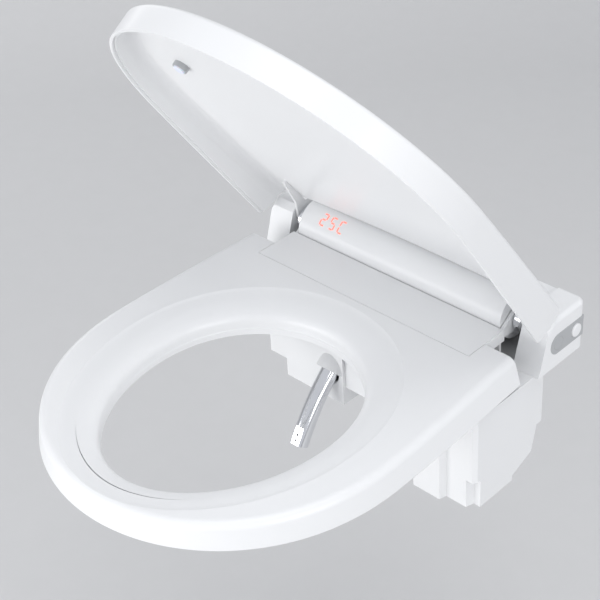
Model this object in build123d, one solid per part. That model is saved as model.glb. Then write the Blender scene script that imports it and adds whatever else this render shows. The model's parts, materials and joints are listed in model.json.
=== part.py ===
from build123d import *
import os
from math import atan, cos, sin, radians, degrees

# Electric bidet seat, millimetres. The origin is midway between the two fixing holes, on the
# underside of the deck. The nose points along -Y, the controls are on the +X side, +Z is up.

# Hinge line, which the roll, the seat and the lid share
HINGE_Z = 42.0
ROLL_R = 30.0
ROLL_SKIN = 3.0
ROLL_HALF = 140.0
SPINDLE_R = 5.0
EYE_BORE_R = 5.1

# Housing
BODY_HALF = 192.0
CHEEK_IN = 160.0
BODY_REAR = 45.0
CHEEK_TOP = 61.0
REAR_TOP = 56.0
DECK_T = 3.0
WALL = 3.0
CORNER_R = 9.0
CHEEK_FRONT = [(-33, DECK_T), (-17.5, 54), (-10, CHEEK_TOP)]

# Seat ring
SEAT_BASE = 8.0
SEAT_TOP = 42.0
SEAT_NOSE_TOP = 35.5
SEAT_REAR = -57.0
OPENING_REAR = -136.0
OPENING_FRONT = -414.0
OPENING_HALF = 118.0
COVER_HALF = 146.5
COVER_FRONT = -87.5
COVER_T = 3.0

# Lid, in the open position
LID_OPEN = 55.5
RIM_Z = 16.0
LID_EDGE_Z = 60.0
LID_CROWN = 4.0
LID_FALL = 2.3
LID_SKIN = 3.0
LINER_SKIN = 2.2

# Lower module
MODULE_FRONT = -111.0
MODULE_SPLIT = -84.0
MODULE_BASE = -120.0
TROUGH_BASE = -57.0
TROUGH_REAR = -34.0
DEEP_LEFT = 108.4
DEEP_RIGHT = 182.0
SHELL = 2.5

# Nozzle, which slides on an arc
NOZZLE_X = -18.0
NOZZLE_R = 10.0
GUIDE_BORE_R = 10.3
GUIDE_R = 12.2
ARC_R = 260.0
EXIT_ANGLE = 42.0
EXIT_Y, EXIT_Z = -112.8, -38.4
NOZZLE_OUT = 90.0
NOZZLE_TAIL = 28.0
ARC_Y = EXIT_Y + ARC_R * sin(radians(EXIT_ANGLE))
ARC_Z = EXIT_Z - ARC_R * cos(radians(EXIT_ANGLE))

# Fixings
FIXING_HALF = 77.5
FIXING_R = 5.5
SCREW_R = 2.0
HEAD_R = 3.8

parts = {}


def block(x, y, z):
    """A box from three (low, high) ranges."""
    size = [high - low for low, high in (x, y, z)]
    middle = [(low + high) / 2 for low, high in (x, y, z)]
    return Pos(*middle) * Box(*size)


def rod_x(x, y, z, r):
    return Pos((x[0] + x[1]) / 2, y, z) * Rot(0, 90, 0) * Cylinder(r, x[1] - x[0])


def rod_y(x, y, z, r):
    return Pos(x, (y[0] + y[1]) / 2, z) * Rot(90, 0, 0) * Cylinder(r, y[1] - y[0])


def rod_z(x, y, z, r):
    return Pos(x, y, (z[0] + z[1]) / 2) * Cylinder(r, z[1] - z[0])


def side_plate(x, points):
    """A plate across X whose side view is a polygon of (y, z) points."""
    face = Plane.YZ * make_face(Polyline(*points, close=True))
    return Pos(x[0], 0, 0) * extrude(face, x[1] - x[0], dir=(1, 0, 0))


def mirrored(shape):
    return mirror(shape, Plane.YZ)


def ring(x, y, z, outer, inner):
    return rod_x(x, y, z, outer) - rod_x((x[0] - 1, x[1] + 1), y, z, inner)


# ---------------------------------------------------------------- outlines

def shell_outline(z, rear_half, wide_half, rear_y, nose_y, inset=0.0):
    """The D-shaped plan of seat and lid: a straight rear, full sides and a round nose."""
    rear, wide = rear_half - inset, wide_half - inset
    rear_y, nose_y = rear_y - inset, nose_y + inset
    wide_y = -255.0
    run = wide_y - nose_y
    side = Bezier((rear, rear_y), (rear + 4, rear_y - 70), (wide, wide_y + 60), (wide, wide_y))
    nose = Bezier((wide, wide_y), (wide, wide_y - run * 0.62), (wide * 0.52, nose_y), (0, nose_y))
    half = [side, nose]
    other = [mirror(edge, Plane.YZ) for edge in half]
    back = Line((-rear, rear_y), (rear, rear_y))
    return Pos(0, 0, z) * make_face(half + other + [back])


def opening_outline(z, grow=0.0):
    """The egg-shaped opening, wider and blunter at the rear."""
    half = OPENING_HALF + grow
    rear, front = OPENING_REAR + grow, OPENING_FRONT - grow
    wide_y = -262.0
    back = Bezier((half, wide_y), (half, wide_y + (rear - wide_y) * 0.6), (half * 0.55, rear), (0, rear))
    nose = Bezier((half, wide_y), (half, wide_y - (wide_y - front) * 0.58), (half * 0.5, front), (0, front))
    half_edges = [back, nose]
    return Pos(0, 0, z) * make_face(half_edges + [mirror(edge, Plane.YZ) for edge in half_edges])


def seat_outline(z, inset=0.0):
    return shell_outline(z, 188, 196, SEAT_REAR, -461, inset)


def lid_outline(z, inset=0.0):
    return shell_outline(z, BODY_HALF, 201, 0, -466.5, inset)


# ---------------------------------------------------------------- seat

FALL_START = COVER_FRONT - 8.0
FALL_END = -480.0
FALL_ANGLE = degrees(atan((SEAT_TOP - SEAT_NOSE_TOP) / (FALL_START - FALL_END)))
SIDE_DRAFT = 5.0
# Profile of the funnel into the opening: growth from the opening's edge, and height
MOUTH = [(-0.6, 16.0), (0.8, 26.0), (3.0, 30.3), (7.5, 33.6), (15.0, 36.6), (25.0, 39.2), (36.0, 41.2),
         (46.0, 42.3)]


def seat_top_at(y):
    """The height of the seat's top, which falls gently from the cover plate to the nose."""
    return SEAT_TOP - (SEAT_TOP - SEAT_NOSE_TOP) * (FALL_START - y) / (FALL_START - FALL_END)


def seat_blank(inset, drop):
    """The ring's outer body: drafted sides and the falling top."""
    low = SEAT_BASE if inset == 0 else SEAT_BASE - 1
    top = SEAT_TOP - drop
    body = loft([seat_outline(low, inset), seat_outline(top, SIDE_DRAFT + inset)], ruled=True)
    fall = side_plate((-220, 220), [(FALL_START, top), (FALL_END, SEAT_NOSE_TOP - drop),
                                    (FALL_END, top + 20), (FALL_START, top + 20)])
    return body - fall


def make_seat():
    body = seat_blank(0, 0)
    rim = [e for e in body.edges() if e.center().Z > 33 and e.center().Y < SEAT_REAR - 10]
    body = fillet([e for e in rim if abs(e.center().X) > 20], 9)
    foot = [e for e in body.edges() if e.center().Z < SEAT_BASE + 0.1 and e.center().Y < SEAT_REAR - 10]
    body = fillet(foot, 1.2)
    tongue = block((-COVER_HALF, COVER_HALF), (SEAT_REAR - 20, -30), (28, SEAT_TOP))
    body = body + tongue

    cavity = seat_blank(4.5, 3.6)
    wall = loft([opening_outline(SEAT_BASE - 2, 6), opening_outline(20, 6),
                 opening_outline(SEAT_TOP - 3.5, 27)], ruled=True)
    cavity = cavity - wall
    body = body - cavity
    body = body - block((-60, 60), (COVER_FRONT, SEAT_REAR + 5), (SEAT_BASE - 1, 32))
    body = body - block((-COVER_HALF + 8, COVER_HALF - 8), (SEAT_REAR - 12, -29), (27, 34))

    mouth = loft([opening_outline(z, grow) for grow, z in MOUTH])
    mouth = mouth.rotate(Axis((0, FALL_START, SEAT_TOP), (1, 0, 0)), FALL_ANGLE)
    body = body - extrude(opening_outline(SEAT_BASE - 3), 40) - mouth

    seat_of_cover = block((-COVER_HALF, COVER_HALF), (COVER_FRONT, 0), (SEAT_TOP - COVER_T, SEAT_TOP + 5))
    body = body - seat_of_cover
    return body - rod_x((-200, 200), 0, HINGE_Z, ROLL_R + 1.4)


seat_shell = make_seat()
parts["seat_shell"] = seat_shell

cover = block((-COVER_HALF + 0.5, COVER_HALF - 0.5), (COVER_FRONT + 0.5, -20),
              (SEAT_TOP - COVER_T, SEAT_TOP))
cover = cover - rod_x((-200, 200), 0, HINGE_Z, ROLL_R + 1.4)
parts["seat_rear_cover"] = cover


# Seat underside: a base plate, a heating element on the skin, buffers and screws
base_plate = extrude(seat_outline(SEAT_BASE, 5.6), 3) - extrude(opening_outline(SEAT_BASE - 1, 6.3), 6)
base_plate = base_plate - block((-62, 62), (-150, -40), (0, 20))
BUFFER_SPOTS = [(-152, -170), (152, -170), (-92, -405), (92, -405)]
SEAT_SCREWS = [(-150, -240), (150, -240), (-142, -330), (142, -330), (-40, -432), (40, -432)]
for x, y in SEAT_SCREWS:
    base_plate = base_plate - rod_z(x, y, (SEAT_BASE - 1, SEAT_BASE + 4), SCREW_R + 0.1)
parts["seat_base_plate"] = base_plate

buffers = []
for x, y in BUFFER_SPOTS:
    pad = Pos(x, y, SEAT_BASE / 2) * Box(26, 13, SEAT_BASE)
    buffers.append(fillet(pad.edges().filter_by(Axis.Z), 6))
parts["seat_buffers"] = Compound(children=buffers)

seat_screws = []
for x, y in SEAT_SCREWS:
    head = rod_z(x, y, (SEAT_BASE - 1.8, SEAT_BASE), HEAD_R)
    shank = rod_z(x, y, (SEAT_BASE, SEAT_BASE + 3), SCREW_R)
    slot = Pos(x, y, SEAT_BASE - 1.8) * Box(4.4, 1, 1.4) + Pos(x, y, SEAT_BASE - 1.8) * Box(1, 4.4, 1.4)
    seat_screws.append(head + shank - slot)
parts["seat_screws"] = Compound(children=seat_screws)

heater = extrude(seat_outline(SEAT_BASE + 3, 18), 1.2) - extrude(opening_outline(SEAT_BASE, 14), 9)
heater = heater - block((-90, 90), (-190, 0), (0, 20))
parts["seat_heater"] = heater


def seat_arm(x):
    """A flat hinge arm from the seat's tongue to its eye on the spindle."""
    arm = side_plate(x, [(-33, 31), (-33, 38.4), (-8, 55), (0, 56), (0, 29), (-8, 28.5)])
    arm = arm + rod_x(x, 0, HINGE_Z, 14)
    return arm - rod_x((x[0] - 1, x[1] + 1), 0, HINGE_Z, EYE_BORE_R)


SEAT_ARM_X = (140.8, 144.6)
LID_ARM_X = (155.6, 159.4)
KNUCKLE_X = (145.0, 155.2)
socket = block(SEAT_ARM_X, (-33, -28), (20, 38.4))
parts["seat_shell"] = parts["seat_shell"] - socket - mirrored(socket)
parts["seat_arm_right"] = seat_arm(SEAT_ARM_X)
parts["seat_arm_left"] = mirrored(parts["seat_arm_right"])


# ---------------------------------------------------------------- lid, built closed

def crowned(inset, z_low, drop):
    """The lid's plan, cut from above by a shallow crown that falls towards the nose."""
    height = LID_EDGE_Z + LID_CROWN
    blank = extrude(lid_outline(z_low, inset), height + 6 - z_low)
    radius = (BODY_HALF ** 2 + LID_CROWN ** 2) / (2 * LID_CROWN)
    barrel = rod_y(0, (-560, 60), height - drop - radius, radius)
    barrel = barrel.rotate(Axis((0, 0, height - drop), (1, 0, 0)), LID_FALL)
    return blank & barrel


# Side view of the lid's rear end, which swings clear of the cheeks
LID_REAR = [(-30.6, RIM_Z - 4), (-30.6, RIM_Z), (-24.2, 37), (-27.2, 53), (-31, 60), (-31, 90),
            (60, 90), (60, RIM_Z - 4)]
lid_end = side_plate((-220, 220), LID_REAR)


def make_lid_shell():
    outer = crowned(0, RIM_Z, 0) - lid_end
    top = [e for e in outer.edges() if e.center().Z > LID_EDGE_Z - 9 and e.center().Y < -60]
    side = [e for e in top if abs(e.center().X) > 150 or e.center().Y < -300]
    outer = fillet(side, 4)
    return outer - crowned(LID_SKIN, RIM_Z - 1, LID_SKIN)


lid_shell = make_lid_shell()
liner_gap = LID_SKIN
FLOOR_DROP = 4.0
liner = crowned(liner_gap, RIM_Z + 3, FLOOR_DROP) - lid_end
hollow = crowned(liner_gap + LINER_SKIN, RIM_Z, FLOOR_DROP + LINER_SKIN)
top = [e for e in hollow.edges() if e.center().Z > 40 and e.center().Y < -60]
hollow = fillet([e for e in top if abs(e.center().X) > 100 or e.center().Y < -300], 14)
liner = liner - hollow

LID_BUFFER = (120, -334)
SEAT_GAP = 0.4
BUFFER_R, TIP_R = 8.0, 6.2
FUNNEL_DEPTH = 2.9
BUFFER_LOW = seat_top_at(LID_BUFFER[1]) - FUNNEL_DEPTH + SEAT_GAP


def lid_buffer(z, r):
    x, y = LID_BUFFER
    return rod_z(x, y, z, r)


collar = lid_buffer((BUFFER_LOW + 2, 62), BUFFER_R) - lid_buffer((0, BUFFER_LOW + 3), TIP_R)
collar = (collar & crowned(liner_gap + LINER_SKIN + 0.01, BUFFER_LOW, FLOOR_DROP + LINER_SKIN))
tip = lid_buffer((BUFFER_LOW, BUFFER_LOW + 3), TIP_R)
tip = fillet(tip.edges().group_by(Axis.Z)[0], 1.5)

arm = side_plate(LID_ARM_X, [(-6, 53), (-31, 56), (-36, 60), (-66, 60), (-66, 49), (-30, 44), (-8, 33)])
arm = arm + rod_x(LID_ARM_X, 0, HINGE_Z, 12)
arm = (arm & crowned(liner_gap + LINER_SKIN, 0, FLOOR_DROP + LINER_SKIN)) + rod_x(
    LID_ARM_X, 0, HINGE_Z, 12) - rod_x((150, 170), 0, HINGE_Z, EYE_BORE_R)

lid_parts = {
    "lid_shell": lid_shell,
    "lid_liner": liner,
    "lid_buffer_collars": Compound(children=[collar, mirrored(collar)]),
    "lid_buffer_tips": Compound(children=[tip, mirrored(tip)]),
    "lid_arm_right": arm,
    "lid_arm_left": mirrored(arm),
}
hinge_axis = Axis((0, 0, HINGE_Z), (1, 0, 0))
for name, shape in lid_parts.items():
    parts[name] = shape.rotate(hinge_axis, -LID_OPEN)


# ---------------------------------------------------------------- hinge line

CAP_T = 3.0
knuckle = ring(KNUCKLE_X, 0, HINGE_Z, 16, SPINDLE_R)
knuckle = chamfer(knuckle.edges().filter_by(GeomType.CIRCLE).filter_by(lambda e: e.radius > 15), 1)
parts["hinge_spindle"] = rod_x((-165, 165), 0, HINGE_Z, SPINDLE_R)
parts["hinge_knuckle_right"] = knuckle
parts["hinge_knuckle_left"] = mirrored(knuckle)
bushing = ring((CHEEK_IN, CHEEK_IN + 6), 0, HINGE_Z, 9, SPINDLE_R + 0.05)
parts["hinge_bushings"] = Compound(children=[bushing, mirrored(bushing)])
parts["lid_gear_motor"] = ring((58, 130), 0, HINGE_Z, 20, SPINDLE_R + 0.6)
parts["seat_damper"] = ring((-130, -72), 0, HINGE_Z, 17, SPINDLE_R + 0.6)


# ---------------------------------------------------------------- upper housing

def sector(x, low, high, near, far):
    """A wedge about the hinge line between two angles, measured up from -Y."""
    spots = [(low, near), (low, far), (high, far), (high, near)]
    points = [(-r * cos(radians(a)), HINGE_Z + r * sin(radians(a))) for a, r in spots]
    return side_plate(x, points)


def cheek(inset=0.0):
    x = (CHEEK_IN + inset, BODY_HALF - inset)
    front = [(y + inset * (1.1 if z < CHEEK_TOP else 0.5), z - (inset if z > 50 else 0))
             for y, z in CHEEK_FRONT]
    rear = [(BODY_REAR - inset, CHEEK_TOP - inset), (BODY_REAR - inset, DECK_T)]
    body = side_plate(x, front + rear)
    edge_x = BODY_HALF - inset
    upright = [e for e in body.edges().filter_by(Axis.Z)
               if e.center().Y > BODY_REAR - inset - 1 and e.center().X > edge_x - 1]
    body = fillet(upright, CORNER_R - inset)
    top = [e for e in body.edges() if e.center().X > edge_x - 8 and e.center().Z > 55 - inset]
    return fillet([e for e in top if e.center().X > CHEEK_IN + 20], 5 - inset * 0.8)


rear_block = block((-CHEEK_IN, CHEEK_IN), (24, BODY_REAR), (DECK_T, REAR_TOP))
rear_void = block((-CHEEK_IN - 5, CHEEK_IN + 5), (24 + WALL, BODY_REAR - WALL), (0, REAR_TOP - WALL))
right = cheek()
void = cheek(WALL) + block((CHEEK_IN + WALL, BODY_HALF - WALL), (-27, BODY_REAR - WALL), (-1, DECK_T + 1))
housing = right + mirrored(right) + rear_block
housing = housing - void - mirrored(void) - rear_void
for x in ((CHEEK_IN - 1, CHEEK_IN + WALL + 1), (-CHEEK_IN - WALL - 1, -CHEEK_IN + 1)):
    housing = housing - rod_x(x, 0, HINGE_Z, 9)

# Control strip and its two push buttons on the right cheek
STRIP_Z, STRIP_R, STRIP_T = 30.5, 12.0, 1.6
STRIP_Y = (-2.0, 41.0)
BUTTON_R, BUTTON_GAP = 7.5, 0.1
BUTTONS = {"wash": (-1.0, 0.4), "dry": (28.0, 2.4)}
strip_x = (BODY_HALF - STRIP_T, BODY_HALF + 0.3)
strip = block(strip_x, STRIP_Y, (STRIP_Z - STRIP_R, STRIP_Z + STRIP_R)) + rod_x(
    strip_x, STRIP_Y[0], STRIP_Z, STRIP_R)
housing = housing - strip
for name, (y, proud) in BUTTONS.items():
    bore = rod_x((BODY_HALF - 10, BODY_HALF + 2), y, STRIP_Z, BUTTON_R + BUTTON_GAP)
    strip = strip - bore
    housing = housing - bore
    cap = rod_x((BODY_HALF - 5, BODY_HALF + proud), y, STRIP_Z, BUTTON_R)
    cap = fillet(cap.edges().group_by(Axis.X)[-1], 0.35 if proud < 1 else 1.4)
    parts[f"button_{name}"] = cap + rod_x((BODY_HALF - 6.5, BODY_HALF - 5), y, STRIP_Z, BUTTON_R + 1.6)
BOARD_X = (179.0, 180.6)
parts["control_strip"] = strip
switches = block(BOARD_X, (-15, 41), (18, 43))
for y, _ in BUTTONS.values():
    switches = switches + rod_x((BOARD_X[1], BOARD_X[1] + 3), y, STRIP_Z, 4)
parts["switch_board"] = switches
parts["upper_housing"] = housing

# The roll between the hinges, its end caps and the front wall under it
roll = ring((-ROLL_HALF, ROLL_HALF), 0, HINGE_Z, ROLL_R, ROLL_R - ROLL_SKIN)
roll = roll - block((-150, 150), (-40, 0), (0, 36)) - block((-150, 150), (-1, 40), (0, REAR_TOP))
parts["roll_cover"] = roll
cap = rod_x((ROLL_HALF - CAP_T, ROLL_HALF), 0, HINGE_Z, ROLL_R - ROLL_SKIN - 0.1)
cap = cap - rod_x((100, 150), 0, HINGE_Z, SPINDLE_R + 0.4) - block((100, 150), (23.9, 40), (0, 80))
parts["roll_caps"] = Compound(children=[cap, mirrored(cap)])


def nozzle_tube(r, start, stop, bore=0.0):
    """A stretch of the nozzle's arc, by length along it from the hood's mouth."""
    def at(length):
        angle = radians(EXIT_ANGLE) + length / ARC_R
        return ARC_Y - ARC_R * sin(angle), ARC_Z + ARC_R * cos(angle), angle
    y0, z0, a0 = at(start)
    ym, zm, _ = at((start + stop) / 2)
    y1, z1, _ = at(stop)
    path = ThreePointArc((NOZZLE_X, y0, z0), (NOZZLE_X, ym, zm), (NOZZLE_X, y1, z1))
    section = Plane(origin=(NOZZLE_X, y0, z0), x_dir=(1, 0, 0), z_dir=(0, -cos(a0), -sin(a0)))
    face = section * Circle(r)
    if bore:
        face = face - section * Circle(bore)
    return sweep(face, path=path)


GUIDE_BACK = -104.0
passage = nozzle_tube(GUIDE_R + 0.4, 20, GUIDE_BACK)
apron = block((-ROLL_HALF, ROLL_HALF), (-29.4, -26.5), (DECK_T, 36)) - passage
parts["front_wall"] = apron

# Display: a board in the roll and three lit seven-segment figures on its skin
DISPLAY_ANGLE, FIGURE_SPAN, FIGURE_W, STROKE = 51.0, 13.0, 8.0, 1.5
FIGURES = {"2": "abged", "5": "afgcd", "C": "afed"}
stroke_angle = degrees(STROKE / ROLL_R) / 2


def figure(x, lit):
    """One seven-segment figure as curved strokes on the roll, centred at x."""
    half, low, high = FIGURE_W / 2, DISPLAY_ANGLE - FIGURE_SPAN, DISPLAY_ANGLE + FIGURE_SPAN
    left, right_x = (x - half, x - half + STROKE), (x + half - STROKE, x + half)
    across = (x - half + STROKE + 0.3, x + half - STROKE - 0.3)
    upper = (DISPLAY_ANGLE + stroke_angle + 0.6, high - 0.6)
    lower = (low + 0.6, DISPLAY_ANGLE - stroke_angle - 0.6)
    places = {
        "a": (across, high - stroke_angle, high + stroke_angle),
        "g": (across, DISPLAY_ANGLE - stroke_angle, DISPLAY_ANGLE + stroke_angle),
        "d": (across, low - stroke_angle, low + stroke_angle),
        "f": (left, *upper), "b": (right_x, *upper), "e": (left, *lower), "c": (right_x, *lower),
    }
    skin = ring((x - 10, x + 10), 0, HINGE_Z, ROLL_R + 0.25, ROLL_R)
    return [skin & sector(places[key][0], *places[key][1:], 24, 36) for key in lit]


strokes = []
for spot, lit in enumerate(FIGURES.values()):
    strokes += figure(-110 + spot * 13, lit)
parts["display_figures"] = Compound(children=strokes)
board = Pos(-97, 0, HINGE_Z) * Rot(90 - DISPLAY_ANGLE, 0, 0) * Pos(0, 0, 23) * Box(52, 15, 1.6)
parts["display_board"] = board


# ---------------------------------------------------------------- deck and lower module

deck = block((-186, 186), (MODULE_FRONT - 2, BODY_REAR - 1), (0, DECK_T))
deck = fillet(deck.edges().filter_by(Axis.Z), 8)
slot = block((NOZZLE_X - 14.2, NOZZLE_X + 14.2), (-102, -15), (-1, DECK_T + 1))
deck = deck - slot
for x in (-FIXING_HALF, FIXING_HALF):
    deck = deck - rod_z(x, 0, (-1, DECK_T + 1), FIXING_R)
HOUSING_SCREWS = [(x, y) for x in (-176, 176) for y in (0, 32)]
for x, y in HOUSING_SCREWS:
    deck = deck - rod_z(x, y, (-1, DECK_T + 1), SCREW_R + 0.1)
parts["deck_plate"] = deck


def shell_box(x, y, z, open_low=False):
    """A thin-walled box without its top, and without its base if open_low."""
    inner_z = (z[0] - 1 if open_low else z[0] + SHELL, z[1] + 1)
    inner = block((x[0] + SHELL, x[1] - SHELL), (y[0] + SHELL, y[1] - SHELL), inner_z)
    return block(x, y, z), inner


# Nozzle and dryer trough: a stepped tray hung under the deck
steps = [
    ((-98, 108), (MODULE_FRONT, TROUGH_REAR), (TROUGH_BASE, 0)),
    ((-123, -96), (MODULE_FRONT + 10, TROUGH_REAR), (-72, 0)),
    ((-84, 0), (MODULE_FRONT - 4, -60), (-79, 0)),
    ((40, 100), (MODULE_FRONT - 4, -60), (-60, 0)),
]
solids, voids = zip(*[shell_box(*step) for step in steps])
trough = solids[0] + solids[1] + solids[2] + solids[3]
trough = trough - voids[0] - voids[1] - voids[2] - voids[3]
hood = nozzle_tube(GUIDE_R + 4, 4, -30) & block((-60, 60), (-150, MODULE_FRONT), (-80, 0))
trough = trough + hood
trough = trough - passage
FLAP_X, FLAP_Z = (6, 32), (-32, -14)
outlet = block((FLAP_X[0] + 2, FLAP_X[1] - 2), (MODULE_FRONT - 5, MODULE_FRONT + 5),
               (FLAP_Z[0] + 2, FLAP_Z[1] - 2))
trough = trough - outlet
parts["nozzle_trough"] = trough
guide = nozzle_tube(GUIDE_R, 3, GUIDE_BACK, GUIDE_BORE_R)
parts["nozzle_guide"] = guide

# Deep water module on the right, in two halves with a stepped front
FRONT_STEPS = [(DEEP_LEFT, -129.0), (143, -129.0), (145.5, -120.5), (171, -120.5), (174, MODULE_FRONT),
               (DEEP_RIGHT, MODULE_FRONT)]
FULL_STEPS = FRONT_STEPS[:3] + [(DEEP_RIGHT - 4, -120.5), (DEEP_RIGHT, -116)]
MODULE_REAR = -10.0


def deep_plan(steps, inset):
    """The module's plan from its front steps, with every wall drawn in by the inset."""
    left, right = DEEP_LEFT + inset, DEEP_RIGHT - inset
    front = [(min(max(x, left), right), y + inset) for x, y in steps]
    return front + [(right, MODULE_REAR - inset), (left, MODULE_REAR - inset)]


def deep_box(z, steps, inset=0.0):
    face = make_face(Polyline(*deep_plan(steps, inset), close=True))
    return Pos(0, 0, z[0]) * extrude(face, z[1] - z[0])


# The rear underside of the water module steps up towards the back
chop = side_plate((90, 200), [(-58, -130), (-58, -114), (-26, -101), (-18, -70), (0, -70), (0, -130)])
chop_in = side_plate((90, 200), [(-55, -130), (-55, -111), (-28, -98.5), (-20, -67.5), (0, -67.5), (0, -130)])


def chopped(solid, inner):
    """Takes the rear step off a half of the water module and closes it with a wall."""
    return (solid - chop) - (inner - chop_in)


upper_inner = deep_box((MODULE_SPLIT - 1, 1), FULL_STEPS, SHELL)
lower_inner = deep_box((MODULE_BASE + SHELL, MODULE_SPLIT + 1), FRONT_STEPS, SHELL)
parts["water_module_upper"] = chopped(deep_box((MODULE_SPLIT, 0), FULL_STEPS), upper_inner)
parts["water_module_lower"] = chopped(deep_box((MODULE_BASE, MODULE_SPLIT), FRONT_STEPS), lower_inner)
plug = (120, -80)
parts["water_module_lower"] = parts["water_module_lower"] - rod_z(*plug, (-130, -110), 5)
parts["drain_plug"] = rod_z(*plug, (MODULE_BASE - 3, MODULE_BASE), 7.5) + rod_z(
    *plug, (MODULE_BASE, MODULE_BASE + 8), 5)

# Water parts inside the module
tank = fillet(block((116, 146), (-112, -66), (-106, -26)).edges().filter_by(Axis.Z), 5)
parts["water_heater"] = tank + rod_z(124, -100, (-26, -14), 4) + rod_z(138, -78, (-26, -14), 4)
pump = rod_z(162, -92, (-80, -40), 12) + rod_z(162, -92, (-100, -80), 13.5)
parts["pump"] = pump + block((156, 168), (-79, -70), (-96, -88))
parts["solenoid_valve"] = block((152, 176), (-62, -40), (-60, -36)) + rod_z(164, -51, (-36, -16), 9)
parts["flow_sensor"] = rod_y(130, (-56, -34), -50, 9) + rod_y(130, (-60, -56), -50, 5)
hose_runs = {
    "feed": [(124, -100, -14), (124, -100, -8), (150, -100, -8), (164, -75, -8), (164, -51, -8), (164, -51, -16)],
    "warm": [(138, -78, -14), (138, -78, -9.5), (130, -60, -9.5), (130, -40, -9.5), (130, -40, -41)],
}
hoses = []
for run in hose_runs.values():
    path = FilletPolyline(*run, radius=2.6)
    hoses.append(sweep(Plane(origin=run[0], z_dir=(0, 0, 1)) * Circle(2.5), path=path))
parts["water_hoses"] = Compound(children=hoses)

INLET = (-150.0, 11.0)
deck_hole = rod_z(*INLET, (-1, DECK_T + 1), 8)
parts["deck_plate"] = parts["deck_plate"] - deck_hole
inlet = rod_z(*INLET, (-26, -2), 10.4) + rod_z(*INLET, (-2, 0), 13) + rod_z(*INLET, (0, 18), 8)
parts["water_inlet"] = inlet - rod_z(*INLET, (-27, 10), 5)
parts["inlet_filter"] = rod_z(*INLET, (-22, 4), 4.9)

# Nozzle: tube, spray head and the drive under its guide
SPRAY_HOLE = 1.4
HEAD_LENGTH = 20.0
nozzle = nozzle_tube(NOZZLE_R, NOZZLE_OUT - HEAD_LENGTH, -NOZZLE_TAIL, 5.0)
head = nozzle_tube(NOZZLE_R, NOZZLE_OUT, NOZZLE_OUT - HEAD_LENGTH)


def on_arc(length, out=0.0):
    """The point at a length along the nozzle's arc, and the heading's fall in degrees."""
    angle = radians(EXIT_ANGLE) + length / ARC_R
    r = ARC_R + out
    return NOZZLE_X, ARC_Y - r * sin(angle), ARC_Z + r * cos(angle), degrees(angle)


x, y, z, fall = on_arc(NOZZLE_OUT - 9, NOZZLE_R)
facet = Pos(x, y, z) * Rot(fall, 0, 0) * Pos(0, 0, 3.4) * Box(30, 26, 10)
head = head - facet
for step in (-3, 3):
    x, y, z, fall = on_arc(NOZZLE_OUT - 8 + step, 0)
    head = head - Pos(x, y, z) * Rot(fall, 0, 0) * Pos(0, 0, 6) * Cylinder(SPRAY_HOLE, 12)
parts["nozzle_tube"] = nozzle
parts["nozzle_head"] = head

PINION = (-51.5, -24.0)
parts["nozzle_motor"] = rod_x((4, 24), *PINION, 14) - rod_x((3, 10), *PINION, 2.2)
pinion = rod_x((-22, -4), *PINION, 8)
teeth = [pinion]
for tooth in range(12):
    turn = Pos(0, *PINION) * Rot(tooth * 30, 0, 0) * Pos(-13, 0, 8.4)
    teeth.append(turn * Box(18, 2, 3))
for tooth in teeth[1:]:
    pinion = pinion + tooth
parts["nozzle_pinion"] = pinion + rod_x((-4, 9.5), *PINION, 2.1)

# Dryer: fan housing, impeller, heater, duct and the flap at the outlet
FAN = (74.0, -74.0)
fan_case = rod_z(*FAN, (-44, -10), 24) - rod_z(*FAN, (-42, -12), 21.5) - rod_z(*FAN, (-13, -9), 10)
neck = block((34, 56), (-104, -84), (-42, -12)) - rod_z(*FAN, (-50, 0), 23.9)
neck_bore = block((33, 60), (-102, -86), (-40, -14))
fan_case = fan_case - neck_bore + (neck - neck_bore)
parts["dryer_fan_case"] = fan_case - rod_z(*FAN, (-45, -41), 2.05)
impeller = rod_z(*FAN, (-40, -38.5), 20) + rod_z(*FAN, (-38.5, -14), 6)
for blade in range(16):
    turn = Pos(*FAN, -27) * Rot(0, 0, blade * 22.5) * Pos(17, 0, 0) * Rot(0, 0, 35)
    impeller = impeller + turn * Box(6, 1.2, 23.5)
parts["dryer_impeller"] = impeller + rod_z(*FAN, (-43.9, -40), 2)
parts["dryer_heater"] = block((36, 46), (-101, -87), (-39, -15))
duct = block((8, 33.5), (-108, -86), (-32, -14)) - block((10, 35), (-109, -88), (-30, -16))
parts["dryer_duct"] = duct
flap_y = MODULE_FRONT - 1.6
flap = block((FLAP_X[0] + 0.5, FLAP_X[1] - 0.5), (flap_y - 2, flap_y), (FLAP_Z[0], FLAP_Z[1]))
pin_z = FLAP_Z[1] + 1.5
flap = flap + rod_x((FLAP_X[0] + 0.5, FLAP_X[1] - 0.5), flap_y - 1, pin_z, 1.8)
flap = flap + rod_x((FLAP_X[0] - 2, FLAP_X[1] + 2), flap_y - 1, pin_z, 1.2)
parts["dryer_flap"] = flap
for x in ((FLAP_X[0] - 2.5, FLAP_X[0]), (FLAP_X[1], FLAP_X[1] + 2.5)):
    lug = block(x, (flap_y - 3, MODULE_FRONT), (pin_z - 2.5, pin_z + 2.5))
    lug = lug - rod_x((x[0] - 1, x[1] + 1), flap_y - 1, pin_z, 1.25)
    parts["nozzle_trough"] = parts["nozzle_trough"] + lug

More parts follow.
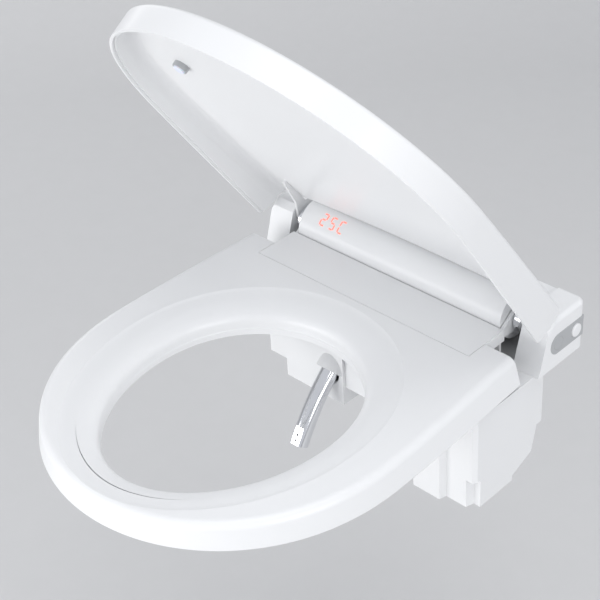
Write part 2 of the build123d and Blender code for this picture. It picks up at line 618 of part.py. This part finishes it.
# Air, electronics and cable entry in the housing
fan_frame = block((-52, -14), (28, 41), (8, 46)) - rod_y(-33, (27, 42), 27, 17)
parts["deodoriser_fan_case"] = fan_frame + block((-52, -14), (38.5, 41), (25, 29))
hub = rod_y(-33, (30, 38.1), 27, 6)
for blade in range(7):
    hub = hub + Pos(-33, 34, 27) * Rot(0, blade * 360 / 7, 0) * Pos(10.5, 0, 0) * Rot(35, 0, 0) * Box(11, 7, 1.2)
parts["deodoriser_impeller"] = hub
parts["carbon_cartridge"] = block((0, 44), (28, 41), (8, 46))
power = block((-150, -70), (29, 30.6), (6, 50)) + block((-96, -74), (30.6, 41), (14, 36))
for x in (-140, -124, -108):
    power = power + rod_y(x, (30.6, 41), 40, 6)
parts["power_board"] = power
control = block((60, 150), (29, 30.6), (6, 50))
for x in (70, 92, 120):
    control = control + block((x, x + 12), (30.6, 32.2), (20, 32))
parts["control_board"] = control
GLAND = (-150.0, 18.0)
gland = rod_y(GLAND[0], (BODY_REAR, BODY_REAR + 8), GLAND[1], 8) + rod_y(
    GLAND[0], (BODY_REAR - WALL, BODY_REAR), GLAND[1], 6)
parts["upper_housing"] = parts["upper_housing"] - rod_y(GLAND[0], (40, 50), GLAND[1], 6)
parts["cable_gland"] = gland - rod_y(GLAND[0], (30, 60), GLAND[1], 3.6)

screws = []
for x, y in HOUSING_SCREWS:
    screw = rod_z(x, y, (-2.2, 0), HEAD_R) + rod_z(x, y, (0, DECK_T), SCREW_R)
    screws.append(screw - Pos(x, y, -2.2) * Box(4.4, 1, 1.6) - Pos(x, y, -2.2) * Box(1, 4.4, 1.6))
parts["housing_screws"] = Compound(children=screws)

os.makedirs("parts", exist_ok=True)
for name, shape in parts.items():
    export_step(shape, f"parts/{name}.step")
    print(name, len(shape.solids()), round(shape.volume), shape.is_valid)
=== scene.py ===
import json
import math

import bpy
from mathutils import Matrix, Vector


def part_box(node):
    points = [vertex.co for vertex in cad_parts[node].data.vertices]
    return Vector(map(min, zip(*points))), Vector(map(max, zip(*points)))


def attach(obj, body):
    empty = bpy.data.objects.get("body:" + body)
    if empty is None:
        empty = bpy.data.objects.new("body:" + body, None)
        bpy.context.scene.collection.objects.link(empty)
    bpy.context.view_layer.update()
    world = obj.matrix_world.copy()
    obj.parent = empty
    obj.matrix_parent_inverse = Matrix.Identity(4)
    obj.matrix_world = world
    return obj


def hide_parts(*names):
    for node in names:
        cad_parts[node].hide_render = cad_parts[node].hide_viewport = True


# Electric bidet seat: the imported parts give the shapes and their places, this script gives the
# finish, the screws, the thread, the ribbed gland, the studio and the camera. Metres throughout.

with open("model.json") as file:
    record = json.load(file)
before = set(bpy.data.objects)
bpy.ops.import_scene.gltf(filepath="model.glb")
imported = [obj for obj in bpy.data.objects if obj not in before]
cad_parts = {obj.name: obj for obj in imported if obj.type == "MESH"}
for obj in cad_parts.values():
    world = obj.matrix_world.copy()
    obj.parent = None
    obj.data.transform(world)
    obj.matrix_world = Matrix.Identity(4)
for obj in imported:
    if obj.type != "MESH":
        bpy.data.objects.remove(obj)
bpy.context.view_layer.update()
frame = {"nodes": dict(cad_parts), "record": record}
nodes = frame["nodes"]


# ---------------------------------------------------------------- shader tools

class Wire:
    """A number coming out of a node, which can be used in sums."""

    def __init__(self, bench, socket):
        self.bench, self.socket = bench, socket

    def sum(self, operation, first, second=0.0):
        settings = {"operation": operation}
        return self.bench.add("ShaderNodeMath", settings, {0: first, 1: second}).wire("Value")

    def __add__(self, other): return self.sum("ADD", self, other)
    def __radd__(self, other): return self.sum("ADD", other, self)
    def __sub__(self, other): return self.sum("SUBTRACT", self, other)
    def __rsub__(self, other): return self.sum("SUBTRACT", other, self)
    def __mul__(self, other): return self.sum("MULTIPLY", self, other)
    def __rmul__(self, other): return self.sum("MULTIPLY", other, self)
    def __truediv__(self, other): return self.sum("DIVIDE", self, other)
    def __rtruediv__(self, other): return self.sum("DIVIDE", other, self)
    def sine(self): return self.sum("SINE", self)
    def over(self, level): return self.sum("GREATER_THAN", self, level)

    def step(self, low, high, start=0.0, end=1.0):
        """A smooth change from start to end as this number goes from low to high."""
        values = {"Value": self, "From Min": low, "From Max": high, "To Min": start, "To Max": end}
        settings = {"interpolation_type": "SMOOTHSTEP"}
        return self.bench.add("ShaderNodeMapRange", settings, values).wire("Result")


class Made:
    """A node that has been made, with a way to its outputs."""

    def __init__(self, bench, node):
        self.bench, self.node = bench, node

    def wire(self, name):
        return Wire(self.bench, self.node.outputs[name])


class Bench:
    """A node tree and the single way to add to it."""

    def add(self, kind, settings, values):
        node = self.tree.nodes.new(kind)
        for name, value in settings.items():
            setattr(node, name, value)
        for name, value in values.items():
            if isinstance(value, Wire):
                self.tree.links.new(value.socket, node.inputs[name])
            else:
                node.inputs[name].default_value = value
        return Made(self, node)


class Paint(Bench):
    """One material's shader tree."""

    def __init__(self, name):
        self.material = bpy.data.materials.new(name)
        self.material.use_nodes = True
        self.tree = self.material.node_tree
        self.tree.nodes.clear()
        self.out = self.add("ShaderNodeOutputMaterial", {}, {})
        self.place = self.add("ShaderNodeTexCoord", {}, {}).wire("Object")

    def noise(self, scale, detail=2.0, roughness=0.5, stretch=(1, 1, 1)):
        placed = self.add("ShaderNodeMapping", {}, {"Vector": self.place, "Scale": stretch}).wire("Vector")
        values = {"Vector": placed, "Scale": scale, "Detail": detail, "Roughness": roughness}
        return self.add("ShaderNodeTexNoise", {}, values).wire("Fac")

    def blend(self, share, first, second):
        """A colour that goes from first to second as share goes from 0 to 1."""
        settings = {"data_type": "RGBA", "clamp_factor": True}
        node = self.add("ShaderNodeMix", settings, {0: share, 6: first, 7: second})
        return Wire(self, node.node.outputs[2])

    def bump(self, height, distance, strength=1.0):
        values = {"Height": height, "Distance": distance, "Strength": strength}
        return self.add("ShaderNodeBump", {}, values).wire("Normal")

    def surface(self, **values):
        named = {key.replace("_", " "): value for key, value in values.items()}
        shader = self.add("ShaderNodeBsdfPrincipled", {}, named)
        self.tree.links.new(shader.node.outputs[0], self.out.node.inputs["Surface"])
        return self.material


def shade(colour, factor):
    return tuple(c * factor for c in colour[:3]) + (1.0,)


# ---------------------------------------------------------------- finishes

def moulded(name, colour, roughness, coat, texture=0.00002, cloud=0.02):
    """Moulded plastic: a faint flow cloud in the colour, a fine skin texture and an uneven polish."""
    p = Paint(name)
    flow = p.noise(9.0, 3.0, 0.6)
    polish = p.noise(55.0, 4.0, 0.6)
    grain = p.noise(1400.0, 2.0, 0.5)
    tint = p.blend(flow, colour, shade(colour, 1.0 - cloud))
    skin = p.bump(grain * 0.5 + p.noise(240.0, 1.0) * 0.5, texture, 0.6)
    return p.surface(Base_Color=tint, Roughness=polish * 0.06 + (roughness - 0.03), Coat_Weight=coat,
                     Coat_Roughness=0.12, IOR=1.49, Normal=skin)


def polished_chrome(name):
    """Plated and buffed metal with faint buffing marks."""
    p = Paint(name)
    marks = p.noise(900.0, 2.0, 0.6, (1, 0.08, 0.08))
    haze = p.noise(60.0, 3.0, 0.6)
    tint = p.blend(haze, (0.80, 0.81, 0.83, 1), (0.72, 0.73, 0.75, 1))
    return p.surface(Base_Color=tint, Metallic=1.0, Roughness=marks * 0.05 + haze * 0.05 + 0.05,
                     Normal=p.bump(marks, 0.000004, 0.5))


def turned_metal(name, colour, roughness):
    """Turned or pressed metal with tool marks and a little darker staining."""
    p = Paint(name)
    marks = p.noise(700.0, 3.0, 0.6, (1, 1, 6))
    stain = p.noise(80.0, 4.0, 0.6)
    tint = p.blend(stain.step(0.45, 0.7), colour, shade(colour, 0.8))
    return p.surface(Base_Color=tint, Metallic=1.0, Roughness=marks * 0.12 + roughness,
                     Normal=p.bump(marks, 0.00001, 0.6))


def soft_rubber(name, colour, roughness=0.6, glow=0.0):
    """Moulded rubber or silicone with a matt, slightly dusty skin."""
    p = Paint(name)
    dust = p.noise(160.0, 4.0, 0.65)
    tint = p.blend(dust, colour, shade(colour, 0.9))
    return p.surface(Base_Color=tint, Roughness=dust * 0.15 + (roughness - 0.07),
                     Subsurface_Weight=glow, Subsurface_Scale=0.003,
                     Normal=p.bump(p.noise(1200.0), 0.00003, 0.6))


def circuit_board(name):
    """Green lacquer with copper pads about 6 mm apart."""
    p = Paint(name)
    values = {"Vector": p.place, "Scale": 160.0, "Randomness": 0.35}
    pads = p.add("ShaderNodeTexVoronoi", {"feature": "F1"}, values).wire("Distance")
    copper = pads.step(0.14, 0.2, 1.0, 0.0)
    tint = p.blend(copper, (0.02, 0.14, 0.06, 1), (0.55, 0.42, 0.2, 1))
    return p.surface(Base_Color=tint, Roughness=copper * 0.1 + 0.3, Metallic=copper * 0.6,
                     Normal=p.bump(copper, 0.00003, 0.6))


def foil_film(name):
    """Creased aluminium film over a resistance element."""
    p = Paint(name)
    creases = p.noise(120.0, 5.0, 0.7)
    tint = p.blend(creases, (0.78, 0.79, 0.80, 1), (0.60, 0.61, 0.62, 1))
    return p.surface(Base_Color=tint, Metallic=0.9, Roughness=creases * 0.2 + 0.2,
                     Normal=p.bump(creases, 0.0004, 0.7))


def carbon_grains(name):
    """Packed black granules."""
    p = Paint(name)
    values = {"Vector": p.place, "Scale": 420.0}
    grains = p.add("ShaderNodeTexVoronoi", {"feature": "F1"}, values).wire("Distance")
    tint = p.blend(grains, (0.05, 0.05, 0.055, 1), (0.01, 0.01, 0.01, 1))
    return p.surface(Base_Color=tint, Roughness=grains * 0.3 + 0.6, Normal=p.bump(grains, 0.0004, 0.9))


def lit_figures(name):
    """Red light diffused through the white skin, slightly uneven in colour."""
    p = Paint(name)
    spread = p.noise(300.0, 2.0, 0.5)
    tint = p.blend(spread, (1.0, 0.16, 0.11, 1), (1.0, 0.24, 0.18, 1))
    return p.surface(Base_Color=tint, Roughness=spread * 0.1 + 0.35, Emission_Color=tint,
                     Emission_Strength=0.9)


WHITE = (0.80, 0.805, 0.81, 1)
finish = {
    "white_gloss": moulded("white_gloss", WHITE, 0.36, 0.15),
    "white_satin": moulded("white_satin", (0.78, 0.785, 0.79, 1), 0.36, 0.1, 0.00004),
    "grey_satin": moulded("grey_satin", (0.42, 0.43, 0.44, 1), 0.34, 0.1, 0.00004, 0.05),
    "chrome": polished_chrome("chrome"),
    "steel": turned_metal("steel", (0.56, 0.57, 0.58, 1), 0.24),
    "brass": turned_metal("brass", (0.72, 0.53, 0.22, 1), 0.24),
    "rubber": soft_rubber("rubber", (0.68, 0.69, 0.70, 1)),
    "clear_rubber": soft_rubber("clear_rubber", (0.78, 0.82, 0.90, 1), 0.42, 0.3),
    "dark_plastic": moulded("dark_plastic", (0.03, 0.031, 0.034, 1), 0.42, 0.0, 0.00005, 0.2),
    "board_green": circuit_board("board_green"),
    "lit_red": lit_figures("lit_red"),
    "foil": foil_film("foil"),
    "carbon": carbon_grains("carbon"),
}

slot_of = {entry["node"]: entry["material_slot"] for entry in frame["record"]["subparts"]}
for part, shape in nodes.items():
    shape.data.materials.clear()
    shape.data.materials.append(finish[slot_of[part]])


# ---------------------------------------------------------------- pieces grown from rules

class Recipe(Bench):
    """A Geometry Nodes tree with named sizes, which turns spots or nothing into a piece."""

    def __init__(self, name, sizes):
        self.tree = bpy.data.node_groups.new(name, "GeometryNodeTree")
        self.sizes = sizes
        self.tree.interface.new_socket("Geometry", in_out="INPUT", socket_type="NodeSocketGeometry")
        self.tree.interface.new_socket("Geometry", in_out="OUTPUT", socket_type="NodeSocketGeometry")
        for size, value in sizes.items():
            kind = "NodeSocketInt" if isinstance(value, int) else "NodeSocketFloat"
            self.tree.interface.new_socket(size, in_out="INPUT", socket_type=kind)
        self.given = self.add("NodeGroupInput", {}, {})
        self.result = self.add("NodeGroupOutput", {}, {})

    def size(self, name):
        return self.given.wire(name)

    def spots(self):
        return self.given.wire("Geometry")

    def point(self):
        cut = self.add("ShaderNodeSeparateXYZ", {}, {"Vector": self.add(
            "GeometryNodeInputPosition", {}, {}).wire("Position")})
        return cut.wire("X"), cut.wire("Y"), cut.wire("Z")

    def vector(self, x, y, z):
        return self.add("ShaderNodeCombineXYZ", {}, {"X": x, "Y": y, "Z": z}).wire("Vector")

    def rod(self, radius, length, around=32, along=1, rings=1):
        values = {"Vertices": around, "Side Segments": along, "Fill Segments": rings,
                  "Radius": radius, "Depth": length}
        return self.add("GeometryNodeMeshCylinder", {"fill_type": "TRIANGLE_FAN"}, values).wire("Mesh")

    def bar(self, x, y, z):
        return self.add("GeometryNodeMeshCube", {}, {"Size": self.vector(x, y, z)}).wire("Mesh")

    def shift(self, shape, place, turn=(0, 0, 0)):
        values = {"Geometry": shape, "Translation": place, "Rotation": turn}
        return self.add("GeometryNodeTransform", {}, values).wire("Geometry")

    def mould(self, shape, x, y, z):
        """Moves every vertex of a shape to a worked-out place."""
        values = {"Geometry": shape, "Position": self.vector(x, y, z)}
        return self.add("GeometryNodeSetPosition", {}, values).wire("Geometry")

    def join(self, *shapes):
        made = self.add("GeometryNodeJoinGeometry", {}, {})
        for shape in reversed(shapes):
            self.tree.links.new(shape.socket, made.node.inputs[0])
        return made.wire("Geometry")

    def cut(self, shape, *tools):
        made = self.add("GeometryNodeMeshBoolean", {"operation": "DIFFERENCE", "solver": "EXACT"},
                        {"Mesh 1": shape})
        for tool in tools:
            self.tree.links.new(tool.socket, made.node.inputs["Mesh 2"])
        return made.wire("Mesh")

    def repeat(self, spots, shape, turn=(0, 0, 0)):
        values = {"Points": spots, "Instance": shape, "Rotation": turn}
        return self.add("GeometryNodeInstanceOnPoints", {}, values).wire("Instances")

    def sum_angle(self, y, x):
        return self.add("ShaderNodeMath", {"operation": "ARCTAN2"}, {0: y, 1: x}).wire("Value")

    def serve(self, shape, paint):
        real = self.add("GeometryNodeRealizeInstances", {}, {"Geometry": shape}).wire("Geometry")
        dressed = self.add("GeometryNodeSetMaterial", {}, {"Geometry": real, "Material": paint})
        self.tree.links.new(dressed.wire("Geometry").socket, self.result.node.inputs["Geometry"])


def grow(name, recipe, body, replaced=(), spots=((0, 0, 0),), place=Matrix.Identity(4), sharp=35):
    """Runs a recipe on its spots and leaves one plain mesh, in place, riding on its body."""
    seed = bpy.data.meshes.new(name + "_spots")
    seed.from_pydata([Vector(spot) for spot in spots], [], [])
    holder = bpy.data.objects.new(name + "_holder", seed)
    bpy.context.scene.collection.objects.link(holder)
    modifier = holder.modifiers.new("recipe", "NODES")
    modifier.node_group = recipe.tree
    for item in recipe.tree.interface.items_tree:
        if item.in_out == "INPUT" and item.name in recipe.sizes:
            modifier[item.identifier] = recipe.sizes[item.name]
    ready = holder.evaluated_get(bpy.context.evaluated_depsgraph_get())
    mesh = bpy.data.meshes.new_from_object(ready)
    bpy.data.objects.remove(holder)
    mesh.transform(place)
    return put(name, mesh, body, replaced, sharp)


def put(name, mesh, body, replaced=(), sharp=35):
    """Smooths a finished mesh except at its sharp edges, and lets it ride on its body."""
    mesh.name = name
    mesh.shade_smooth()
    mesh.set_sharp_from_angle(angle=math.radians(sharp))
    piece = bpy.data.objects.new(name, mesh)
    bpy.context.scene.collection.objects.link(piece)
    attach(piece, body)
    if replaced:
        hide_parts(*replaced)
    return piece


def cross_head_screws(name, body, node, head_low, plane, spots):
    """Pan-head screws with a cross recess, seen from below."""
    r = Recipe(name, {"head radius": 0.0038, "head height": plane - head_low, "dome": 0.0007,
                      "shank radius": 0.0019, "shank length": 0.0028, "recess": 0.0044,
                      "slot width": 0.001, "slot depth": 0.0018})
    x, y, z = r.point()
    head = r.rod(r.size("head radius"), r.size("head height"), 40, 3, 5)
    reach = (x * x + y * y) / (r.size("head radius") * r.size("head radius"))
    low = 1.0 - z.over(-0.00002)
    domed = r.mould(head, x, y, z + low * reach * r.size("dome"))
    seat = r.shift(domed, r.vector(0.0, 0.0, r.size("head height") * -0.5))
    blade = r.bar(r.size("recess"), r.size("slot width"), r.size("slot depth"))
    other = r.bar(r.size("slot width"), r.size("recess"), r.size("slot depth"))
    drop = r.vector(0.0, 0.0, r.size("head height") * -1.0)
    pan = r.cut(seat, r.shift(blade, drop), r.shift(other, drop))
    shank = r.shift(r.rod(r.size("shank radius"), r.size("shank length"), 24),
                    r.vector(0.0, 0.0, r.size("shank length") * 0.5))
    r.serve(r.repeat(r.spots(), r.join(pan, shank)), finish["steel"])
    return grow(name, r, body, (node,), [(a, b, plane) for a, b in spots])


MM = 0.001
seat_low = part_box("seat_base_plate")[0].z
cross_head_screws("seat_base_screws", "seat", "seat_screws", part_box("seat_screws")[0].z, seat_low,
                  [(x * MM, y * MM) for x, y in ((-150, -240), (150, -240), (-142, -330), (142, -330),
                                                 (-40, -432), (40, -432))])
cross_head_screws("deck_screws", "housing", "housing_screws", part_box("housing_screws")[0].z,
                  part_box("deck_plate")[0].z, [(x * MM, y * MM) for x in (-176, 176) for y in (0, 32)])


def threaded_inlet():
    """The brass inlet: a G1/2 thread on its lower end, a flange and a plain stem above the deck."""
    low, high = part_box("water_inlet")
    r = Recipe("threaded_inlet", {"outer radius": 0.0104, "thread depth": 0.0011, "pitch": 0.001814,
                                  "thread length": 0.024, "bore": 0.005, "flange radius": 0.013,
                                  "flange thickness": 0.002, "neck radius": 0.008,
                                  "neck length": 0.018, "bore length": 0.034})
    x, y, z = r.point()
    turn = r.sum_angle(y, x) / (2 * math.pi)
    along = z / r.size("pitch") - turn
    ridge = along.sum("PINGPONG", along, 0.5)
    share = 1.0 - ridge * 2.0 * r.size("thread depth") / r.size("outer radius")
    stem = r.rod(r.size("outer radius"), r.size("thread length"), 40, 120)
    thread = r.mould(stem, x * share, y * share, z)
    flange = r.shift(r.rod(r.size("flange radius"), r.size("flange thickness"), 6), (0, 0, 0.013))
    neck = r.shift(r.rod(r.size("neck radius"), r.size("neck length"), 40), (0, 0, 0.023))
    bore = r.shift(r.rod(r.size("bore"), r.size("bore length"), 32), (0, 0, 0.004))
    r.serve(r.cut(r.join(thread, flange, neck), bore), finish["brass"])
    middle = (low + high) / 2
    grow("inlet_thread", r, "housing", ("water_inlet",),
         place=Matrix.Translation((middle.x, middle.y, low.z + 0.012)))


def ribbed_gland():
    """The rubber strain relief: a tapered stub with rings, open for the lead."""
    low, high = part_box("cable_gland")
    r = Recipe("ribbed_gland", {"root radius": 0.008, "tip radius": 0.0062, "length": 0.008,
                                "ring pitch": 0.0027, "ring swell": 0.042, "bore": 0.0036})
    x, y, z = r.point()
    along = z / r.size("length") + 0.5
    taper = 1.0 - along * (1.0 - r.size("tip radius") / r.size("root radius"))
    rings = 1.0 + (z / r.size("ring pitch") * (2 * math.pi)).sine() * r.size("ring swell")
    within = 0.955  # keeps the crests of the rings inside the root radius
    share = taper * rings * within
    stub = r.mould(r.rod(r.size("root radius"), r.size("length"), 48, 40, 3), x * share, y * share, z)
    collar = r.shift(r.rod(0.006, 0.003, 40), (0, 0, -0.0054))
    bore = r.rod(r.size("bore"), 0.03, 32)
    r.serve(r.cut(r.join(stub, collar), bore), finish["rubber"])
    turn = Matrix.Rotation(math.radians(-90), 4, "X")
    spot = Vector(((low.x + high.x) / 2, high.y - 0.004, (low.z + high.z) / 2))
    grow("gland_rings", r, "housing", ("cable_gland",), place=Matrix.Translation(spot) @ turn)


threaded_inlet()
ribbed_gland()


# ---------------------------------------------------------------- studio

FLOOR_Z = -0.55
ROOM_HALF = 9.0
CURVE_START, CURVE_R = 1.6, 1.2
WALL_TOP = 6.0
CENTRE = Vector((0.02, -0.2, 0.12))


def room():
    """A pale floor that curves up into a backdrop behind the object."""
    curve = [(CURVE_START + CURVE_R * math.sin(a), CURVE_R - CURVE_R * math.cos(a))
             for a in map(math.radians, range(8, 91, 8))]
    depth = [(-ROOM_HALF, 0), (CURVE_START, 0)] + curve + [(CURVE_START + CURVE_R, WALL_TOP)]
    turn = Matrix.Rotation(math.radians(45), 3, "Z")
    verts = [turn @ Vector((x, y, z + FLOOR_Z)) for y, z in depth for x in (-ROOM_HALF, ROOM_HALF)]
    faces = [(2 * i, 2 * i + 1, 2 * i + 3, 2 * i + 2) for i in range(len(depth) - 1)]
    mesh = bpy.data.meshes.new("studio_sweep")
    mesh.from_pydata(verts, [], faces)
    for face in mesh.polygons:
        face.use_smooth = True
    sweep = bpy.data.objects.new("studio_sweep", mesh)
    bpy.context.scene.collection.objects.link(sweep)
    p = Paint("studio_paper")
    fibre = p.noise(30.0, 4.0, 0.6)
    tint = p.blend(fibre, (0.62, 0.62, 0.62, 1), (0.60, 0.60, 0.60, 1))
    mesh.materials.append(p.surface(Base_Color=tint, Roughness=fibre * 0.1 + 0.85))


def lamp(name, place, aim, size, power):
    light = bpy.data.lights.new(name, "AREA")
    light.shape, light.size, light.size_y, light.energy = "RECTANGLE", size[0], size[1], power
    shone = bpy.data.objects.new(name, light)
    shone.location = place
    shone.rotation_euler = (Vector(aim) - Vector(place)).to_track_quat("-Z", "Y").to_euler()
    bpy.context.scene.collection.objects.link(shone)


room()
lamp("front_low_softbox", (-0.9, -2.4, -0.15), (0.0, 0.0, 0.25), (2.2, 1.2), 40)
lamp("right_softbox", (2.6, -0.9, 0.9), CENTRE, (1.6, 1.6), 26)
lamp("ceiling_softbox", (0.6, -0.2, 2.8), CENTRE, (2.0, 2.0), 22)
lamp("left_rim", (-2.2, 0.6, 1.0), CENTRE, (0.6, 1.6), 5)

world = bpy.data.worlds.new("studio_air")
world.use_nodes = True
world.node_tree.nodes["Background"].inputs["Color"].default_value = (0.93, 0.95, 1.0, 1)
world.node_tree.nodes["Background"].inputs["Strength"].default_value = 0.75
bpy.context.scene.world = world
bpy.context.scene.view_settings.view_transform = "Standard"


CAMERA_AT = (0.8899, -1.0365, 0.9630)
AZIMUTH, ELEVATION, ROLL = 45.79, 35.12, -3.7
SENSOR, LENS = 36.0, 92.016


def place_camera():
    """A long lens above the front right corner, tilted slightly, 1.7 m from the origin."""
    azimuth, elevation, roll = (math.radians(angle) for angle in (AZIMUTH, ELEVATION, ROLL))
    back = Vector((math.sin(azimuth) * math.cos(elevation), -math.cos(azimuth) * math.cos(elevation),
                   math.sin(elevation)))
    right = Vector((math.cos(azimuth), math.sin(azimuth), 0))
    up = back.cross(right)
    tilted = right * math.cos(roll) + up * math.sin(roll)
    over = up * math.cos(roll) - right * math.sin(roll)
    turn = Matrix((tilted, over, back)).transposed().to_4x4()
    data = bpy.data.cameras.new("studio_camera")
    data.sensor_width, data.lens = SENSOR, LENS
    data.clip_start, data.clip_end = 0.05, 60
    shot = bpy.data.objects.new("studio_camera", data)
    shot.matrix_world = Matrix.Translation(CAMERA_AT) @ turn
    bpy.context.scene.collection.objects.link(shot)
    bpy.context.scene.camera = shot


place_camera()
